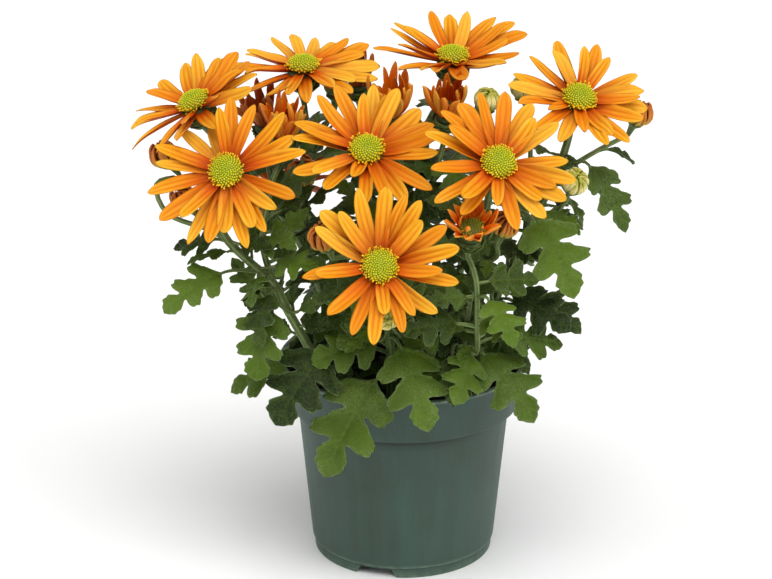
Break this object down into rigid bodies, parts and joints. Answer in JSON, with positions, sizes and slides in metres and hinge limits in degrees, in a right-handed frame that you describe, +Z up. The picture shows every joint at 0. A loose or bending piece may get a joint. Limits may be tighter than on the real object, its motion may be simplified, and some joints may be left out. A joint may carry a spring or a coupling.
{
  "type": "pot chrysanthemum",
  "caption": "Pot chrysanthemum with orange daisy-like blooms, young blooms and buds on leafy branching stems, in a round tapered plastic pot filled with soil.",
  "frame": {"origin": "on the ground, below the middle of the plant's spread; the pot's axis stands 6 mm from it towards +X", "axes": "+Z up; the side with the most blooms faces -Y; +X is to the right of that side"},
  "size_m": [0.2435, 0.2217, 0.2568],
  "materials": {
    "pot_plastic": "matt",
    "potting_soil": "rough",
    "leaves_and_stems": "satin",
    "petals": "matt",
    "disc_florets": "matt",
    "young_petals": "matt",
    "young_disc": "matt",
    "brown_petals": "matt",
    "cream_bud": "satin",
    "green_bud": "satin",
    "brown_bud": "satin"
  },
  "bodies": {
    "root": {"bloom_10_disc": "disc_florets", "bloom_10_petals": "petals", "bloom_11_disc": "disc_florets", "bloom_11_petals": "petals", "bloom_1_disc": "disc_florets", "bloom_1_petals": "petals", "bloom_2_disc": "disc_florets", "bloom_2_petals": "petals", "bloom_3_disc": "disc_florets", "bloom_3_petals": "petals", "bloom_4_disc": "disc_florets", "bloom_4_petals": "petals", "bloom_5_disc": "disc_florets", "bloom_5_petals": "petals", "bloom_6_disc": "disc_florets", "bloom_6_petals": "petals", "bloom_7_disc": "disc_florets", "bloom_7_petals": "petals", "bloom_8_disc": "disc_florets", "bloom_8_petals": "petals", "bloom_9_disc": "disc_florets", "bloom_9_petals": "petals", "bud_1": "cream_bud", "bud_10": "brown_bud", "bud_11": "green_bud", "bud_2": "cream_bud", "bud_3": "cream_bud", "bud_4": "green_bud", "bud_5": "brown_bud", "bud_6": "cream_bud", "bud_7": "brown_bud", "bud_8": "brown_bud", "bud_9": "brown_bud", "leafy_stem_1": "leaves_and_stems", "leafy_stem_2": "leaves_and_stems", "leafy_stem_3": "leaves_and_stems", "leafy_stem_4": "leaves_and_stems", "leafy_stem_5": "leaves_and_stems", "leafy_stem_6": "leaves_and_stems", "leafy_stem_7": "leaves_and_stems", "leafy_stem_8": "leaves_and_stems", "pot": "pot_plastic", "soil": "potting_soil", "young_bloom_1_petals": "brown_petals", "young_bloom_2_petals": "young_petals", "young_bloom_3_petals": "young_petals", "young_bloom_4_disc": "young_disc", "young_bloom_4_petals": "young_petals", "young_bloom_5_disc": "young_disc", "young_bloom_5_petals": "young_petals", "young_bloom_6_petals": "brown_petals"}
  },
  "joints": []
}
